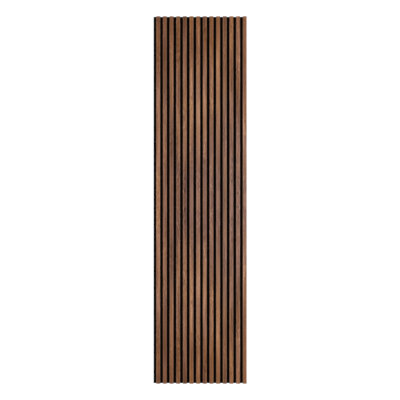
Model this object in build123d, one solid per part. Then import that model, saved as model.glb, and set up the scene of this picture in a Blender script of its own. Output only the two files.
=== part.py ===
from build123d import *

import os

# A slatted acoustic wall panel: veneered slats, evenly spaced, stapled to a board of black felt.
#
# The panel stands upright. X runs across it, the back of the felt lies on y = 0 against the wall,
# and the slats face -Y. The origin is the middle of the back face. All lengths are millimetres.
#
# Each slat is a strip of fibreboard with a sheet of wood veneer folded over its front and both
# sides. The first slat stands one gap in from the left edge and the last is flush with the right
# edge, so that panels butted side by side carry the rhythm on.

# Panel
PANEL_HEIGHT = 2400.0
FELT_THICKNESS = 9.0
FELT_EDGE_RADIUS = 0.8

# Slats
SLAT_COUNT = 14
SLAT_WIDTH = 25.0
SLAT_THICKNESS = 12.0
SLAT_GAP = 18.5
VENEER_THICKNESS = 0.6
CORE_ARRIS_RADIUS = 0.6

# Staples, driven from the back through the felt into each core
STAPLES_PER_SLAT = 6
STAPLE_END_MARGIN = 60.0
STAPLE_CROWN_WIDTH = 12.8
STAPLE_BITE = 7.3
STAPLE_WIRE_THICKNESS = 0.65
STAPLE_WIRE_WIDTH = 0.95
STAPLE_SINK = 0.3

# Worked out from the sizes above
SLAT_PITCH = SLAT_WIDTH + SLAT_GAP
PANEL_WIDTH = SLAT_COUNT * SLAT_PITCH
SLAT_BACK = -FELT_THICKNESS
CORE_WIDTH = SLAT_WIDTH - 2 * VENEER_THICKNESS
CORE_THICKNESS = SLAT_THICKNESS - VENEER_THICKNESS
VENEER_ARRIS_RADIUS = CORE_ARRIS_RADIUS + VENEER_THICKNESS


def slat_centre(index):
    """The x of a slat's middle, counted from 0 at the left."""
    first = -PANEL_WIDTH / 2 + SLAT_GAP + SLAT_WIDTH / 2
    return first + index * SLAT_PITCH


def staple_heights():
    """The z of each staple along one slat, evenly spaced between the two end margins."""
    lowest = -PANEL_HEIGHT / 2 + STAPLE_END_MARGIN
    spacing = (PANEL_HEIGHT - 2 * STAPLE_END_MARGIN) / (STAPLES_PER_SLAT - 1)
    return [lowest + row * spacing for row in range(STAPLES_PER_SLAT)]


def strip_section(width, thickness, arris_radius):
    """A strip's cross-section, square at the back where it meets the felt, eased at the front."""
    section = Pos(0, SLAT_BACK - thickness / 2) * Rectangle(width, thickness)
    front_corners = section.vertices().sort_by(Axis.Y)[:2]
    return fillet(front_corners, arris_radius)


def full_height(section):
    """A section in plan, drawn out over the whole height of the panel."""
    return Pos(0, 0, -PANEL_HEIGHT / 2) * extrude(section, PANEL_HEIGHT)


def staple_section(crown_top):
    """A staple seen along its wire's width: the crown under crown_top and two chisel-cut legs."""
    half_width = STAPLE_CROWN_WIDTH / 2
    inner = half_width - STAPLE_WIRE_THICKNESS
    crown_underside = -STAPLE_SINK - STAPLE_WIRE_THICKNESS
    leg_tip = SLAT_BACK - STAPLE_BITE
    leg_shoulder = leg_tip + STAPLE_WIRE_THICKNESS
    outline = Polyline(
        (-half_width, crown_top),
        (half_width, crown_top),
        (half_width, leg_tip),
        (inner, leg_shoulder),
        (inner, crown_underside),
        (-inner, crown_underside),
        (-inner, leg_shoulder),
        (-half_width, leg_tip),
        close=True,
    )
    return make_face(outline)


def staple_wire():
    """One staple at mid-height, its crown sunk just below the back of the felt."""
    return extrude(staple_section(-STAPLE_SINK), STAPLE_WIRE_WIDTH / 2, both=True)


def staple_cavity():
    """What one staple takes out of the felt and the core, open to the back above its crown."""
    return extrude(staple_section(0), STAPLE_WIRE_WIDTH / 2, both=True)


def slat_core():
    """The fibreboard strip of one slat, with the slots that its staples' legs have cut."""
    strip = full_height(strip_section(CORE_WIDTH, CORE_THICKNESS, CORE_ARRIS_RADIUS))
    return strip - [Pos(0, 0, z) * staple_cavity() for z in staple_heights()]


def slat_veneer():
    """The veneer of one slat, folded round the core's front and sides."""
    outside = strip_section(SLAT_WIDTH, SLAT_THICKNESS, VENEER_ARRIS_RADIUS)
    inside = strip_section(CORE_WIDTH, CORE_THICKNESS, CORE_ARRIS_RADIUS)
    return full_height(outside - inside)


def staple_places():
    """Where every staple of the panel goes."""
    return [Pos(slat_centre(i), 0, z) for i in range(SLAT_COUNT) for z in staple_heights()]


def felt_backing():
    """The felt board, its cut edges softened, with a slot for each staple."""
    board = Box(PANEL_WIDTH, FELT_THICKNESS, PANEL_HEIGHT, align=(Align.CENTER, Align.MAX, Align.CENTER))
    board = fillet(board.edges(), FELT_EDGE_RADIUS)
    return board - [place * staple_cavity() for place in staple_places()]


def write_node(shape, name):
    """Writes one piece to its own file."""
    shape.label = name
    export_step(shape, f"parts/{name}.step")


def main():
    os.makedirs("parts", exist_ok=True)
    write_node(felt_backing(), "felt_backing")
    core = slat_core()
    veneer = slat_veneer()
    for index in range(SLAT_COUNT):
        place = Pos(slat_centre(index), 0, 0)
        write_node(place * core, f"slat_core_{index + 1:02d}")
        write_node(place * veneer, f"slat_veneer_{index + 1:02d}")
    staples = [place * staple_wire() for place in staple_places()]
    write_node(Compound(children=staples), "staples")


main()
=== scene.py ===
# %% [markdown]
# # Dressing a slatted wall panel
#
# The object is a tall acoustic panel: fourteen walnut-faced slats on a board of black felt. Its solids
# come ready made, at their real size, so this lesson is about looks: how light falls on lacquered
# veneer, how one wood recipe gives fourteen different slats, how a staple is bent, and how felt gives
# way under it. Everything is in metres, with the wall at y = 0 and the slats facing -Y.

# %% Load the panel
import math

import bmesh
import bpy
from mathutils import Matrix, Vector


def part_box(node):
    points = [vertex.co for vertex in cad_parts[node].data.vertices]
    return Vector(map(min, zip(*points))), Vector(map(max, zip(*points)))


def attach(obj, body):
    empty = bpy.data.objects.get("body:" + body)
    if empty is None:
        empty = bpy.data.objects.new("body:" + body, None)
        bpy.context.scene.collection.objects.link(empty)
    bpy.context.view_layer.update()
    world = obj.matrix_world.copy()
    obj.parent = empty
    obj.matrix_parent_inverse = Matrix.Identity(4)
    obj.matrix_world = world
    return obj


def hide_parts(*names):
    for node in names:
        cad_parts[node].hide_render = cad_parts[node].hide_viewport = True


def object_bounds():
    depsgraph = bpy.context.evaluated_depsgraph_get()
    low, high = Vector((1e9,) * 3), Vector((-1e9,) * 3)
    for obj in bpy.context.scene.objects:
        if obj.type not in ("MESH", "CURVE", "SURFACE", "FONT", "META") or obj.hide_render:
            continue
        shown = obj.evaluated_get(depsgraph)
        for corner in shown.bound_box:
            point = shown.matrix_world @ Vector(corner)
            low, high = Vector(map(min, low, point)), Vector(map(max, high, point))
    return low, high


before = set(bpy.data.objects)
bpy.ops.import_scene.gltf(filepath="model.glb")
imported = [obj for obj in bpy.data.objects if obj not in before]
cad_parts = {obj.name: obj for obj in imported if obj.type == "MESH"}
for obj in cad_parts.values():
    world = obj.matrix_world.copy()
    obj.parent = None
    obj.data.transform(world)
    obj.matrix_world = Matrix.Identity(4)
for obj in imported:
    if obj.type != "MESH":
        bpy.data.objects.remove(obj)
solid_low, solid_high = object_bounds()
print("pieces:", len(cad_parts), "size in metres:", [round(side, 4) for side in solid_high - solid_low])

# %% [markdown]
# ## Measure before making
#
# Where the pieces are is worked out from the solids, and not typed in. If the panel is made wider or
# taller, the looks follow. The veneers give the slats' middles and width, and the felt gives the
# board that the back is made from.

# %% Measure the slats, the felt and the staples
veneers = [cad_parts[name] for name in sorted(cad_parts) if name.startswith("slat_veneer_")]
cores = [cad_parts[name] for name in sorted(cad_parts) if name.startswith("slat_core_")]
felt_low, felt_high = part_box("felt_backing")
staples_low, staples_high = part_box("staples")


def slat_middle(veneer):
    """The x of a slat's middle."""
    low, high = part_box(veneer.name)
    return (low.x + high.x) / 2


middles = [slat_middle(veneer) for veneer in veneers]
slat_low, slat_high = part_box(veneers[0].name)
half_slat = (slat_high.x - slat_low.x) / 2
print("slats:", len(middles), "pitch:", round(middles[1] - middles[0], 4), "half width:", round(half_slat, 5))

# %% [markdown]
# ## The camera
#
# A panel seen straight on looks flat, but the picture still says how far away the camera stood: the
# slats stand 12 mm nearer than the felt, so they look a little taller than it. That difference gives
# the distance, and the panel's height in the picture then gives the focal length. The camera is level
# with the middle of the panel, a hair to the left of it.

# %% Place the camera
PICTURE_SIDE = 400
SENSOR_WIDTH = 36.0
FELT_DISTANCE = 3.383
FOCAL_LENGTH_PIXELS = 516.2
CAMERA_ASIDE = -0.0004

camera_data = bpy.data.cameras.new("camera")
camera_data.sensor_width = SENSOR_WIDTH
camera_data.lens = FOCAL_LENGTH_PIXELS / PICTURE_SIDE * SENSOR_WIDTH
camera = bpy.data.objects.new("camera", camera_data)
camera.location = (CAMERA_ASIDE, felt_low.y - FELT_DISTANCE, 0)
camera.rotation_euler = (math.radians(90), 0, 0)
bpy.context.scene.collection.objects.link(camera)
bpy.context.scene.camera = camera
print("lens:", round(camera_data.lens, 2), "mm")

# %% [markdown]
# ## Small tools for node trees
#
# Materials are built from nodes. These helpers add a node, feed its sockets from other sockets or
# plain values, and make a group with named inputs and outputs. A group is the shader's version of a
# function: it is made once, and every material that uses it gives it values of its own.


# %% Add and feed nodes
def feed(tree, source, socket):
    """Links a socket to another socket, or sets it to a plain value."""
    if isinstance(source, bpy.types.NodeSocket):
        tree.links.new(source, socket)
    else:
        socket.default_value = source


def add_node(tree, kind, sockets, **settings):
    """A node with its settings, and its sockets fed by name or number."""
    node = tree.nodes.new(kind)
    for name, value in settings.items():
        setattr(node, name, value)
    for key, source in sockets.items():
        feed(tree, source, node.inputs[key])
    return node


def calculate(tree, operation, *values):
    """One step of arithmetic."""
    return add_node(tree, "ShaderNodeMath", dict(enumerate(values)), operation=operation).outputs[0]


def rise(tree, value, low, high):
    """0 below low, 1 above high, and a smooth rise between."""
    sockets = {"Value": value, "From Min": low, "From Max": high}
    return add_node(tree, "ShaderNodeMapRange", sockets, interpolation_type="SMOOTHSTEP").outputs["Result"]


def noise(tree, place, stretch, detail):
    """Soft random values from 0 to 1, with as many waves per metre along each axis as stretch says."""
    stretched = add_node(tree, "ShaderNodeVectorMath", {0: place, 1: stretch}, operation="MULTIPLY")
    sockets = {"Vector": stretched.outputs[0], "Scale": 1.0, "Detail": detail}
    return add_node(tree, "ShaderNodeTexNoise", sockets).outputs["Fac"]


def mix(tree, factor, first, second, blend="MIX"):
    """Two colours mixed."""
    node = add_node(tree, "ShaderNodeMix", {}, data_type="RGBA", blend_type=blend)
    for number, source in ((0, factor), (6, first), (7, second)):
        feed(tree, source, node.inputs[number])
    return node.outputs[2]


# %% Make groups and materials
def new_group(name, inputs, outputs):
    """An empty node group with its sockets, and its input and output nodes."""
    group = bpy.data.node_groups.new(name, "ShaderNodeTree")
    for label, value in inputs.items():
        kind = "NodeSocketColor" if isinstance(value, tuple) else "NodeSocketFloat"
        group.interface.new_socket(name=label, in_out="INPUT", socket_type=kind).default_value = value
    for label, kind in outputs.items():
        group.interface.new_socket(name=label, in_out="OUTPUT", socket_type=f"NodeSocket{kind}")
    return group, group.nodes.new("NodeGroupInput").outputs, group.nodes.new("NodeGroupOutput").inputs


def new_material(name):
    """A material, its node tree and its shader."""
    material = bpy.data.materials.new(name)
    material.use_nodes = True
    return material, material.node_tree, material.node_tree.nodes["Principled BSDF"]


def object_place(tree):
    """Where a point lies on the panel. Every mesh is in place, so these are the panel's own metres."""
    return add_node(tree, "ShaderNodeTexCoord", {}).outputs["Object"]


def dress(piece, material):
    """Gives a piece one material."""
    piece.data.materials.clear()
    piece.data.materials.append(material)


# %% [markdown]
# ## The walnut veneer
#
# The veneer is sliced from a log and folded over the front and sides of each slat, so its figure runs
# round the edges without a break. Adding x and y gives the place across the unfolded sheet: on the
# front only x changes, on the sides only y does, and it is continuous over the fold.
#
# A panel is taller than most figured logs are long. So two sheets that lay together in the log are
# opened like a book and joined end to end at mid-height, and the lower half of the figure mirrors the
# upper. The place along the sheet is therefore the distance from mid-height. Straight grain would be
# stiff, so a slow noise pushes the lines sideways as they run.

# %% Unfold the sheet
GRAIN_WANDER = 0.022
WANDER_STRETCH = (1.0, 1.3, 1.0)


def sheet_place(tree, seed):
    """The place on the unfolded veneer, then the plain x and the distance from mid-height."""
    axes = add_node(tree, "ShaderNodeSeparateXYZ", {0: object_place(tree)}).outputs
    across = calculate(tree, "ADD", axes["X"], axes["Y"])
    along = calculate(tree, "ABSOLUTE", axes["Z"])
    seeded = add_node(tree, "ShaderNodeCombineXYZ", {0: 0.0, 1: along, 2: seed}).outputs[0]
    wander = calculate(tree, "SUBTRACT", noise(tree, seeded, WANDER_STRETCH, 2.0), 0.5)
    across = calculate(tree, "MULTIPLY_ADD", wander, GRAIN_WANDER, across)
    on_sheet = add_node(tree, "ShaderNodeCombineXYZ", {0: across, 1: along, 2: seed}).outputs[0]
    return on_sheet, axes["X"], along


# %% [markdown]
# ### The layers
#
# A picture of wood could be wrapped round the slat, but it would repeat and blur close up. The figure
# is built from noise that is stretched along the grain, one layer for each thing that the eye finds
# in walnut, from wide to fine: bands of darker heartwood, clouds a hand long, mottle, flecks, streaks,
# fibres and pores. A stretch of (110, 17, 1) means 110 waves to the metre across the grain and 17
# along it, and the last number runs through the log, where each slat has its own place. The number
# after it is the noise's detail: how many times finer waves are laid over the first.

# %% Layers of the figure
LAYERS = {
    "bands": ((110.0, 1.6, 1.0), 1.0),
    "clouds": ((28.0, 2.6, 1.0), 1.0),
    "mottle": ((110.0, 17.0, 1.0), 1.0),
    "flecks": ((150.0, 50.0, 1.0), 1.0),
    "streaks": ((420.0, 7.0, 1.0), 4.0),
    "fibres": ((1900.0, 35.0, 1.0), 2.0),
    "pores": ((2600.0, 120.0, 1.0), 1.0),
    "hues": ((30.0, 3.5, 1.0), 1.0),
}
BAND_START, BAND_FULL = 0.4, 0.66
PORE_START, PORE_FULL = 0.66, 0.74

walnut, given, wanted = new_group(
    "walnut_figure",
    {
        "Ground": (0.27, 0.12, 0.06, 1.0),
        "Heart": (0.16, 0.06, 0.03, 1.0),
        "Seed": 0.0,
        "Middle": 0.0,
        "Mottle": 1.0,
        "Burl high": 0.9,
        "Burl low": 0.2,
    },
    {"Color": "Color", "Roughness": "Float", "Lacquer": "Float", "Height": "Float"},
)
place, side_to_side, along = sheet_place(walnut, given["Seed"])
layers = {name: noise(walnut, place, stretch, detail) for name, (stretch, detail) in LAYERS.items()}
bands = rise(walnut, layers["bands"], BAND_START, BAND_FULL)
pores = rise(walnut, layers["pores"], PORE_START, PORE_FULL)
print("layers of the figure:", ", ".join(layers))

# %% [markdown]
# Round a burl, where a branch once left the trunk, the mottle and flecks are strongest. Each half of a
# slat has two burls at heights of its own, and away from them it keeps only its own share of mottle.

# %% How lively the figure is
BURL_HEART = 0.03
BURL_REACH = 0.15
BURL_STRENGTH = 1.6

lively = given["Mottle"]
for burl in ("Burl high", "Burl low"):
    distance = calculate(walnut, "ABSOLUTE", calculate(walnut, "SUBTRACT", along, given[burl]))
    near = calculate(walnut, "SUBTRACT", 1.0, rise(walnut, distance, BURL_HEART, BURL_REACH))
    lively = calculate(walnut, "MULTIPLY_ADD", near, BURL_STRENGTH, lively)
print("burls reach", BURL_REACH, "m, nodes so far:", len(walnut.nodes))

# %% [markdown]
# ### The colour
#
# Walnut keeps its pigment in the bands and in the darkest of the mottle, so these two pull the colour
# towards the redder, darker brown of heartwood.

# %% Pigment
BAND_STRENGTH = 0.55
KNOT_START, KNOT_FULL = 0.56, 0.78
KNOT_STRENGTH = 0.3
KNOT_LIMIT = 0.8

colour = mix(walnut, calculate(walnut, "MULTIPLY", bands, BAND_STRENGTH), given["Ground"], given["Heart"])
knots = calculate(walnut, "MULTIPLY", rise(walnut, layers["mottle"], KNOT_START, KNOT_FULL), lively)
knots = calculate(walnut, "MINIMUM", calculate(walnut, "MULTIPLY", knots, KNOT_STRENGTH), KNOT_LIMIT)
colour = mix(walnut, knots, colour, given["Heart"])
print("pigment from bands and mottle, nodes so far:", len(walnut.nodes))

# %% [markdown]
# The other layers only lighten and darken. Each is centred on nought, so that it does both alike, and
# its strength says by how much. Dark walnut is also the more saturated: it goes to red-brown and never
# to grey. A plain multiply would keep the saturation, so the layers add up to the exponent of a gamma,
# which above one darkens blue more than green and green more than red. A multiply by the same sum
# does the rest. Pores are cut vessels, open and dark, so they only darken.

# %% Light and dark
PLAIN_GAMMA = 0.97
PORE_DARKNESS = 0.14
LAYER_STRENGTHS = {"clouds": 0.48, "mottle": 0.14, "flecks": 0.18, "streaks": 0.24, "fibres": 0.22}
DARKENING = 2.6

gamma = calculate(walnut, "MULTIPLY_ADD", pores, PORE_DARKNESS, PLAIN_GAMMA)
for name, strength in LAYER_STRENGTHS.items():
    if name in ("mottle", "flecks"):
        strength = calculate(walnut, "MULTIPLY", lively, strength)
    centred = calculate(walnut, "SUBTRACT", 0.5, layers[name])
    gamma = calculate(walnut, "MULTIPLY_ADD", centred, strength, gamma)
colour = add_node(walnut, "ShaderNodeGamma", {"Color": colour, "Gamma": gamma}).outputs[0]
brightness = calculate(walnut, "MULTIPLY_ADD", gamma, -DARKENING, 1.0 + DARKENING)
colour = mix(walnut, 1.0, colour, brightness, "MULTIPLY")
print("light and dark from:", ", ".join(LAYER_STRENGTHS))

# %% [markdown]
# Walnut isn't one hue. Some of it is golden, some olive and some nearly red, in patches a hand long, so
# a slow noise turns the hue a little and the saturation with it. Towards its long edges each face is
# paler, where the folded sheet is sanded. How far the paleness reaches is a share of the way from the
# slat's middle to its edge.

# %% Hue and sanded edges
HUE_DRIFT = 0.024
SATURATION_DRIFT = 0.42
SANDED_TAN = (0.27, 0.19, 0.125, 1.0)
SANDED_STRENGTH = 0.3
SANDED_START, SANDED_FULL = 0.1, 0.8

drift = calculate(walnut, "SUBTRACT", layers["hues"], 0.5)
turned = {
    "Color": colour,
    "Hue": calculate(walnut, "MULTIPLY_ADD", drift, HUE_DRIFT, 0.5),
    "Saturation": calculate(walnut, "MULTIPLY_ADD", drift, SATURATION_DRIFT, 1.0),
}
colour = add_node(walnut, "ShaderNodeHueSaturation", turned).outputs[0]
from_middle = calculate(walnut, "ABSOLUTE", calculate(walnut, "SUBTRACT", side_to_side, given["Middle"]))
sanded = rise(walnut, from_middle, half_slat * SANDED_START, half_slat * SANDED_FULL)
sanded = calculate(walnut, "MULTIPLY", sanded, SANDED_STRENGTH)
feed(walnut, mix(walnut, sanded, colour, SANDED_TAN), wanted["Color"])
print("fully sanded past:", round(half_slat * SANDED_FULL, 4), "m from a slat's middle")

# %% [markdown]
# ### The lacquer
#
# Lacquer is a film of its own over the wood, and the shader has a coat for such films. Dense, dark
# wood drinks its lacquer and is left with a thin coat, so the coat's weight follows how light the wood
# is, read from its red. With the same weight all over, a sheen would lie on light wood and dark alike,
# like a fog. The wood under it has hardly any shine of its own, and its streaks change how rough it is.
# The height is for the bump: fibres stand up a little and pores are sunk.

# %% Surface of the veneer
PORE_DEPTH = 1.5
SMOOTHEST, ROUGHNESS_SPREAD = 0.28, 0.12
COAT_TO_RED = 2.1

sunk = calculate(walnut, "MULTIPLY", pores, PORE_DEPTH)
feed(walnut, calculate(walnut, "SUBTRACT", layers["fibres"], sunk), wanted["Height"])
roughness = calculate(walnut, "MULTIPLY_ADD", layers["streaks"], ROUGHNESS_SPREAD, SMOOTHEST)
feed(walnut, roughness, wanted["Roughness"])
red = add_node(walnut, "ShaderNodeSeparateColor", {0: colour}).outputs["Red"]
coat = calculate(walnut, "MINIMUM", calculate(walnut, "MULTIPLY", red, COAT_TO_RED), 1.0)
feed(walnut, coat, wanted["Lacquer"])
print("walnut figure:", len(walnut.nodes), "nodes")

# %% [markdown]
# ## Fourteen slats from one recipe
#
# No two slats are cut from the same part of the log. A tone of walnut, a shade that makes it lighter
# or darker, a share of mottle and the heights of two burls, dealt out one by one, and a seed for each slat
# tell them apart, while they still belong to one tree. Making fourteen separate recipes would take
# longer and match less well.
#
# The shader is wood under a coat of lacquer: the group gives its colour, roughness and the coat's
# weight, and a bump of a few hundredths of a millimetre gives the wood its fibres and pores.

# %% Deal out tones and burls
WALNUT_TONES = {
    "honey": ((0.290, 0.102, 0.026, 1.0), (0.158, 0.046, 0.010, 1.0)),
    "amber": ((0.264, 0.088, 0.022, 1.0), (0.143, 0.041, 0.009, 1.0)),
    "russet": ((0.232, 0.074, 0.019, 1.0), (0.127, 0.035, 0.008, 1.0)),
    "dusky": ((0.236, 0.082, 0.026, 1.0), (0.133, 0.040, 0.012, 1.0)),
}
CALM, PLAIN, MOTTLED = 0.5, 0.9, 1.5
SLATS = (
    ("honey", 1.07, PLAIN, 0.9, 0.1),
    ("russet", 0.96, CALM, 0.6, 0.3),
    ("russet", 0.9, CALM, 1.0, 0.4),
    ("russet", 0.8, MOTTLED, 0.97, 0.21),
    ("russet", 0.76, PLAIN, 0.5, 0.11),
    ("honey", 0.97, CALM, 0.66, 0.3),
    ("honey", 1.02, PLAIN, 0.93, 0.12),
    ("amber", 0.87, CALM, 1.1, 0.3),
    ("amber", 0.98, PLAIN, 0.65, 0.1),
    ("honey", 0.88, CALM, 0.8, 0.15),
    ("dusky", 0.71, CALM, 1.0, 0.4),
    ("dusky", 1.02, PLAIN, 1.1, 0.2),
    ("dusky", 1.05, MOTTLED, 0.86, 0.02),
    ("honey", 1.0, CALM, 0.5, 0.1),
)
print("tones:", ", ".join(WALNUT_TONES), "for slats:", len(SLATS))

# %% Veneer materials
SEED_STEP = 2.3
LACQUER_ROUGHNESS = 0.36
LACQUER_IOR = 1.7
WOOD_SHINE = 0.1
FIBRE_DEPTH = 0.00004


def shaded(colour, shade):
    """A colour made darker or lighter."""
    return (*(channel * shade for channel in colour[:3]), 1.0)


def veneer_material(number, tone, shade, mottle, burl_high, burl_low, middle):
    """The lacquered walnut of one slat."""
    material, tree, shader = new_material(f"walnut_veneer_{number:02d}")
    veneer = add_node(tree, "ShaderNodeGroup", {}, node_tree=walnut)
    ground, heart = WALNUT_TONES[tone]
    values = {
        "Ground": shaded(ground, shade),
        "Heart": shaded(heart, shade),
        "Seed": number * SEED_STEP,
        "Middle": middle,
        "Mottle": mottle,
        "Burl high": burl_high,
        "Burl low": burl_low,
    }
    for label, value in values.items():
        veneer.inputs[label].default_value = value
    feed(tree, veneer.outputs["Color"], shader.inputs["Base Color"])
    feed(tree, veneer.outputs["Roughness"], shader.inputs["Roughness"])
    feed(tree, veneer.outputs["Lacquer"], shader.inputs["Coat Weight"])
    shader.inputs["Coat Roughness"].default_value = LACQUER_ROUGHNESS
    shader.inputs["Coat IOR"].default_value = LACQUER_IOR
    shader.inputs["Specular IOR Level"].default_value = WOOD_SHINE
    bump = add_node(tree, "ShaderNodeBump", {"Height": veneer.outputs["Height"], "Distance": FIBRE_DEPTH})
    feed(tree, bump.outputs[0], shader.inputs["Normal"])
    return material


# %% Dress the slats
for number, (veneer, choice) in enumerate(zip(veneers, SLATS), start=1):
    dress(veneer, veneer_material(number, *choice, slat_middle(veneer)))
print("veneer materials:", len(veneers))

# %% [markdown]
# ## Fibreboard and felt
#
# The strip inside each slat shows only at its two cut ends. It is fibreboard: pressed brown fibres,
# paler than the veneer, with a speckle finer than a millimetre. The felt is black all through, but
# not evenly: grey fibres lie among the black ones, and loose ones on its skin catch light from the
# side, which is what the sheen is for. Both are the same effect at two scales, so they share one group.

# %% Pressed fibres
BOARD_BROWN, BOARD_FLECK = (0.27, 0.17, 0.095, 1.0), (0.42, 0.29, 0.17, 1.0)
FIBRE_DETAIL = 3.0
FIBRE_TWIST = 1.2
FLECK_START, FLECK_FULL = 0.5, 0.72
CLOUD_WAVES = 14.0
DARKEST_CLOUD, CLOUD_SPREAD = 0.75, 0.5

pressed, given, wanted = new_group(
    "pressed_fibres",
    {"Ground": BOARD_BROWN, "Fleck": BOARD_FLECK, "Fleck share": 0.5, "Waves": 900.0},
    {"Color": "Color", "Height": "Float"},
)
place = object_place(pressed)
sockets = {"Vector": place, "Scale": given["Waves"], "Detail": FIBRE_DETAIL, "Distortion": FIBRE_TWIST}
tangle = add_node(pressed, "ShaderNodeTexNoise", sockets).outputs["Fac"]
sockets = {"Vector": place, "Scale": CLOUD_WAVES, "Detail": FIBRE_DETAIL}
cloudy = add_node(pressed, "ShaderNodeTexNoise", sockets).outputs["Fac"]
flecks = calculate(pressed, "MULTIPLY", rise(pressed, tangle, FLECK_START, FLECK_FULL), given["Fleck share"])
speckled = mix(pressed, flecks, given["Ground"], given["Fleck"])
shade = calculate(pressed, "MULTIPLY_ADD", cloudy, CLOUD_SPREAD, DARKEST_CLOUD)
feed(pressed, mix(pressed, 1.0, speckled, shade, "MULTIPLY"), wanted["Color"])
feed(pressed, tangle, wanted["Height"])
print("pressed fibres:", len(pressed.nodes), "nodes")

# %% Board and felt
FELT_BLACK, FELT_GREY = (0.0034, 0.0026, 0.0025, 1.0), (0.0115, 0.0100, 0.0098, 1.0)
FELT_SHEEN, FELT_SHEEN_ROUGHNESS = 0.06, 0.4


def pressed_material(name, ground, fleck, fleck_share, waves, depth, roughness, gloss):
    """A material of pressed fibres."""
    material, tree, shader = new_material(name)
    fibres = add_node(tree, "ShaderNodeGroup", {}, node_tree=pressed)
    values = {"Ground": ground, "Fleck": fleck, "Fleck share": fleck_share, "Waves": waves}
    for label, value in values.items():
        fibres.inputs[label].default_value = value
    feed(tree, fibres.outputs["Color"], shader.inputs["Base Color"])
    bump = add_node(tree, "ShaderNodeBump", {"Height": fibres.outputs["Height"], "Distance": depth})
    feed(tree, bump.outputs[0], shader.inputs["Normal"])
    shader.inputs["Roughness"].default_value = roughness
    shader.inputs["Specular IOR Level"].default_value = gloss
    return material


fibreboard = pressed_material("fibreboard", BOARD_BROWN, BOARD_FLECK, fleck_share=0.6, waves=900.0,
                              depth=0.0002, roughness=0.85, gloss=0.2)
felt = pressed_material("black_felt", FELT_BLACK, FELT_GREY, fleck_share=0.4, waves=420.0,
                        depth=0.0006, roughness=1.0, gloss=0.0)
felt_shader = felt.node_tree.nodes["Principled BSDF"]
felt_shader.inputs["Sheen Weight"].default_value = FELT_SHEEN
felt_shader.inputs["Sheen Roughness"].default_value = FELT_SHEEN_ROUGHNESS
for core in cores:
    dress(core, fibreboard)
print("fibreboard strips:", len(cores))

# %% [markdown]
# ## The staples
#
# Each slat is held by six staples, driven from the back through the felt. The solid ones are square
# at every corner, which is all that their slots need. A real staple is a wire with rounded edges that
# was bent over a former, so its crown rolls over into its legs, and that roll is what catches the light.
#
# It starts as the outline of a bent wire, drawn out to the wire's width. Two bevels finish it: a wide
# one rolls the two bends, and a narrow one breaks the long edges. A curve with a round section would
# be quicker, but the wire is flat, because it was rolled from round stock.

# %% Where the staples are
STAPLE_ROWS = 6
WIRE_WIDTH = 0.00095

crown_half = middles[0] - staples_low.x


def staple_heights():
    """The heights of the staple rows, lowest first."""
    lowest = staples_low.z + WIRE_WIDTH / 2
    highest = staples_high.z - WIRE_WIDTH / 2
    return [lowest + row * (highest - lowest) / (STAPLE_ROWS - 1) for row in range(STAPLE_ROWS)]


print("staples to a slat:", len(staple_heights()), "crown:", round(2000 * crown_half, 2), "mm")

# %% Outline a bent wire
WIRE_THICKNESS = 0.00065


def wire_outline():
    """The corners of a staple seen along its wire's width: outside first, then back along the inside."""
    crown, tip = staples_high.y, staples_low.y
    inner = crown_half - WIRE_THICKNESS
    outside = [(-crown_half, tip), (-crown_half, crown), (crown_half, crown), (crown_half, tip)]
    inside = [(inner, tip + WIRE_THICKNESS), (inner, crown - WIRE_THICKNESS)]
    return outside + inside + [(-x, y) for x, y in reversed(inside)]


print("corners of the outline:", len(wire_outline()))

# %% Bend one staple
BEND_RADIUS = 0.0009
BEND_SEGMENTS = 5
WIRE_EDGE_RADIUS = 0.00014
WIRE_EDGE_SEGMENTS = 2
TOUCHING = 1e-6


def is_bend(edge):
    """Whether an edge is the outer corner of a bend, across the wire at an end of the crown."""
    start, end = (vertex.co for vertex in edge.verts)
    at_crown_end = abs(abs(start.x) - crown_half) < TOUCHING and start.y > staples_high.y - TOUCHING
    return at_crown_end and (end - start).to_2d().length < TOUCHING


def bevel(mesh, edges, radius, segments):
    """Rounds edges of a mesh."""
    bmesh.ops.bevel(mesh, geom=edges, offset=radius, offset_type="OFFSET", affect="EDGES", segments=segments,
                    profile=0.5, material=-1)


def staple_mesh():
    """One staple at the panel's origin."""
    mesh = bmesh.new()
    face = mesh.faces.new([mesh.verts.new((x, y, -WIRE_WIDTH / 2)) for x, y in wire_outline()])
    extruded = bmesh.ops.extrude_face_region(mesh, geom=[face])
    top = [part for part in extruded["geom"] if isinstance(part, bmesh.types.BMVert)]
    bmesh.ops.translate(mesh, verts=top, vec=(0, 0, WIRE_WIDTH))
    bmesh.ops.recalc_face_normals(mesh, faces=mesh.faces[:])
    bends = [edge for edge in mesh.edges if is_bend(edge)]
    bevel(mesh, bends, BEND_RADIUS, BEND_SEGMENTS)
    rims = [edge for edge in mesh.edges if abs(edge.verts[0].co.z - edge.verts[1].co.z) < TOUCHING]
    bevel(mesh, rims, WIRE_EDGE_RADIUS, WIRE_EDGE_SEGMENTS)
    return mesh


one_mesh = staple_mesh()
print("faces of one staple:", len(one_mesh.faces))

# %% [markdown]
# The one staple is then copied to every place and kept as a single piece, as the solids are. The wire
# is zinc-coated steel: grey, a little dull, and duller in some places than in others.

# %% Drive the staples
one_staple = bpy.data.meshes.new("one_staple")
one_mesh.to_mesh(one_staple)
one_mesh.free()
all_staples = bmesh.new()
for middle in middles:
    for height in staple_heights():
        first = len(all_staples.verts)
        all_staples.from_mesh(one_staple)
        bmesh.ops.translate(all_staples, verts=all_staples.verts[first:], vec=(middle, 0, height))
bpy.data.meshes.remove(one_staple)
print("staples:", len(middles) * len(staple_heights()))

# %% Zinc-coated wire
WIRE_GREY = (0.3, 0.3, 0.305, 1.0)
DULL_PATCHES = (300.0, 300.0, 300.0)
SHINIEST_WIRE, WIRE_DULLING = 0.35, 0.3

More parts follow.
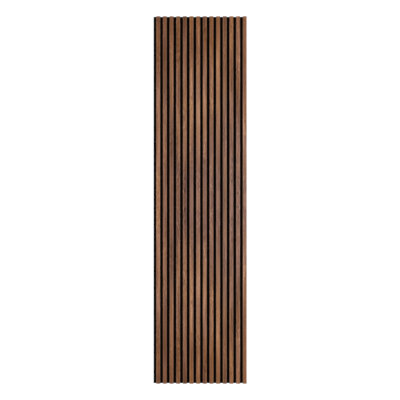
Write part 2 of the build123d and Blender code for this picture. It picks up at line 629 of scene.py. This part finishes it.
wire, tree, shader = new_material("staple_wire")
shader.inputs["Base Color"].default_value = WIRE_GREY
shader.inputs["Metallic"].default_value = 1.0
dulled = noise(tree, object_place(tree), DULL_PATCHES, 2.0)
feed(tree, calculate(tree, "MULTIPLY_ADD", dulled, WIRE_DULLING, SHINIEST_WIRE), shader.inputs["Roughness"])
print("wire roughness:", SHINIEST_WIRE, "to", round(SHINIEST_WIRE + WIRE_DULLING, 2))

# %% Finish a piece
SMOOTH_ANGLE = math.radians(35)


def new_piece(name, mesh, material, replaced):
    """A finished piece from a bmesh, standing for one of the solids."""
    data = bpy.data.meshes.new(name)
    mesh.to_mesh(data)
    mesh.free()
    data.shade_smooth()
    data.set_sharp_from_angle(angle=SMOOTH_ANGLE)
    piece = bpy.data.objects.new(name, data)
    bpy.context.scene.collection.objects.link(piece)
    dress(piece, material)
    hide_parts(replaced)
    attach(piece, "root")
    print(name, "faces:", len(data.polygons))
    return piece


staple_wires = new_piece("staple_wires", all_staples, wire, "staples")

# %% [markdown]
# ## The felt board
#
# The solid felt is a plain board. The real one gives way where each staple pulls its crown in, so the
# back has eighty-four shallow dimples. Sculpting them would not repeat, and a bump map would vanish
# from the side, so they are real: a grid whose lines crowd together at the staples is pushed in there.
# Its border is extruded to the board's thickness and the flat front closes it. Last, the board's edges
# are rounded, as a blade leaves felt.

# %% Lines that crowd at the staples
DIMPLE_REACH = 0.009
CLOSE_STEP = 0.003
WIDE_STEP = 0.03
NEAR_SHARE = 0.8


def grid_lines(low, high, centres, reach):
    """Places from low to high, close together within reach of a centre and ever wider beyond it."""
    lines = [low]
    while lines[-1] < high:
        nearest = min(abs(lines[-1] - centre) for centre in centres)
        step = CLOSE_STEP
        if nearest >= reach:
            step = min(WIDE_STEP, max(CLOSE_STEP, nearest - reach * NEAR_SHARE))
        lines.append(lines[-1] + step)
    stretch = (high - low) / (lines[-1] - low)
    return [low + (line - low) * stretch for line in lines]


columns = grid_lines(felt_low.x, felt_high.x, middles, crown_half + 1.5 * DIMPLE_REACH)
rows = grid_lines(felt_low.z, felt_high.z, staple_heights(), 2 * DIMPLE_REACH)
print("grid lines across:", len(columns), "and up:", len(rows))

# %% Dimples
DIMPLE_DEPTH = 0.0006


def dimple(x, z):
    """How far the felt is pulled in at a place on its back, nearly nought past the dimple's reach."""
    across = max(0.0, min(abs(x - middle) for middle in middles) - crown_half)
    up = min(abs(z - height) for height in staple_heights())
    return DIMPLE_DEPTH * math.exp(-2 * (across**2 + up**2) / DIMPLE_REACH**2)


print("pulled in at a staple:", dimple(middles[0], staple_heights()[0]), "m")

# %% Shape the board
FELT_EDGE_RADIUS = 0.0008
FELT_EDGE_SEGMENTS = 3
RIM_ANGLE = math.radians(60)


def felt_board():
    """The felt's mesh: a dimpled back, a flat front and rounded edges."""
    mesh = bmesh.new()
    bmesh.ops.create_grid(mesh, x_segments=len(columns) - 1, y_segments=len(rows) - 1, size=0.5)
    for vertex in mesh.verts:
        column = round((vertex.co.x + 0.5) * (len(columns) - 1))
        row = round((vertex.co.y + 0.5) * (len(rows) - 1))
        vertex.co = (columns[column], felt_high.y - dimple(columns[column], rows[row]), rows[row])
    border = [edge for edge in mesh.edges if edge.is_boundary]
    sides = bmesh.ops.extrude_edge_only(mesh, edges=border)["geom"]
    for part in sides:
        if isinstance(part, bmesh.types.BMVert):
            part.co.y = felt_low.y
    bmesh.ops.holes_fill(mesh, edges=[edge for edge in mesh.edges if edge.is_boundary], sides=0)
    bmesh.ops.recalc_face_normals(mesh, faces=mesh.faces[:])
    rims = [edge for edge in mesh.edges if edge.calc_face_angle() > RIM_ANGLE]
    bevel(mesh, rims, FELT_EDGE_RADIUS, FELT_EDGE_SEGMENTS)
    return mesh


felt_backing = new_piece("felt_board", felt_board(), felt, "felt_backing")

# %% [markdown]
# ## The studio
#
# The panel was pictured against pure white. A white world seen by the camera gives that, and a weaker
# one lights the panel, so that the felt stays black. The floor is only paper for the eye to rest on:
# it glows as white as the world, and neither shades the panel nor lights it. Lamps add nothing to it
# either, because a floor brighter than white would spill over the panel's edges and seem to thin them.

# %% White world
SEEN_WHITE = 1.05
FILL_LIGHT = 0.15

world = bpy.data.worlds.new("studio")
world.use_nodes = True
bpy.context.scene.world = world
tree = world.node_tree
background = tree.nodes["Background"]
seen = add_node(tree, "ShaderNodeLightPath", {}).outputs["Is Camera Ray"]
strength = calculate(tree, "MULTIPLY_ADD", seen, SEEN_WHITE - FILL_LIGHT, FILL_LIGHT)
feed(tree, strength, background.inputs["Strength"])
background.inputs["Color"].default_value = (1.0, 1.0, 1.0, 1.0)
print("seen white:", SEEN_WHITE, "fill light:", FILL_LIGHT)

# %% Paper floor
FLOOR_RADIUS = 9.0
FLOOR_SEGMENTS = 96

floor_mesh = bmesh.new()
bmesh.ops.create_circle(floor_mesh, cap_ends=True, segments=FLOOR_SEGMENTS, radius=FLOOR_RADIUS,
                        matrix=Matrix.Translation((0, 0, solid_low.z)))
floor_data = bpy.data.meshes.new("floor")
floor_mesh.to_mesh(floor_data)
floor_mesh.free()
floor = bpy.data.objects.new("floor", floor_data)
bpy.context.scene.collection.objects.link(floor)
paper, tree, shader = new_material("studio_floor")
shader.inputs["Base Color"].default_value = (0.0, 0.0, 0.0, 1.0)
shader.inputs["Roughness"].default_value = 1.0
shader.inputs["Specular IOR Level"].default_value = 0.0
shader.inputs["Emission Color"].default_value = (1.0, 1.0, 1.0, 1.0)
shader.inputs["Emission Strength"].default_value = SEEN_WHITE
dress(floor, paper)
floor.visible_diffuse = False
floor.visible_glossy = False
floor.visible_shadow = False
print("floor at z =", round(solid_low.z, 3))

# %% [markdown]
# Soft boxes do the rest. Four keys stand off to the sides, two high and two low, where lacquer throws
# their glare away from the camera and only the wood's own colour comes back. Lights straight in front
# do the opposite, so those are the weak ones, and make the sheen: cool over the middle, bluer on the
# right, and warm above and below it.
#
# Two more stand behind. Black felt needs a strong light, and the lacquered side of the last slat would
# mirror it as a white stripe. A photographer puts up a black card to keep the light off the wood. Here
# light linking does that: a light reaches only the pieces in its collection. The same goes for a light
# overhead, which shows the fibreboard at the slats' cut ends and nothing else.


# %% Hang a soft box
def area_light(name, place, size, power, colour, target):
    """A soft box that faces its target."""
    light = bpy.data.lights.new(name, "AREA")
    light.shape = "RECTANGLE"
    light.size, light.size_y = size
    light.energy = power
    light.color = colour
    box = bpy.data.objects.new(name, light)
    box.location = place
    box.rotation_euler = (Vector(target) - Vector(place)).to_track_quat("-Z", "Y").to_euler()
    bpy.context.scene.collection.objects.link(box)
    return box


def shine_only_on(light, pieces):
    """Lets a light reach these pieces and no others."""
    reached = bpy.data.collections.new(f"lit_by_{light.name}")
    for piece in pieces:
        reached.objects.link(piece)
    light.light_linking.receiver_collection = reached


# %% Light the panel
WARM, WHITE, COOL, BLUE = (1.0, 0.7, 0.55), (1.0, 0.98, 0.95), (0.74, 0.84, 1.0), (0.42, 0.7, 1.0)
SHEEN_LIGHTS = {
    "sheen_middle": ((0.2, -3.4, 0.0), (2.0, 1.7), 17.5, COOL, (0.1, 0, 0)),
    "sheen_right": ((0.8, -3.4, 0.0), (0.8, 1.6), 11.3, BLUE, (0.3, 0, 0)),
    "sheen_high": ((0.0, -3.4, 1.22), (1.2, 0.36), 15.5, WARM, (0, 0, 0.6)),
    "sheen_low": ((0.0, -3.4, -1.22), (1.2, 0.36), 15.5, WARM, (0, 0, -0.6)),
}

for side in (-1, 1):
    for level in (-1, 1):
        area_light("key", place=(2.6 * side, -2.6, 2.0 * level), size=(1.6, 1.6), power=34.0, colour=WHITE,
                   target=(0, 0, 0.75 * level))
    back = area_light("back", place=(2.2 * side, 3.2, 0.0), size=(1.5, 2.2), power=300.0, colour=WHITE,
                      target=(0, 0, 0))
    shine_only_on(back, [staple_wires, felt_backing])
overhead = area_light("overhead", place=(0.0, -0.6, 3.6), size=(1.6, 0.8), power=50.0, colour=WHITE,
                      target=(0, 0, solid_high.z))
shine_only_on(overhead, cores)
for name, (place, size, power, colour, target) in SHEEN_LIGHTS.items():
    area_light(name, place, size, power, colour, target)
print("soft boxes:", len(bpy.data.lights))

# %% [markdown]
# ## Finish
#
# The picture's white and black are taken as they are, with no film-like curve over them.

# %% Finish
bpy.context.scene.view_settings.view_transform = "Standard"
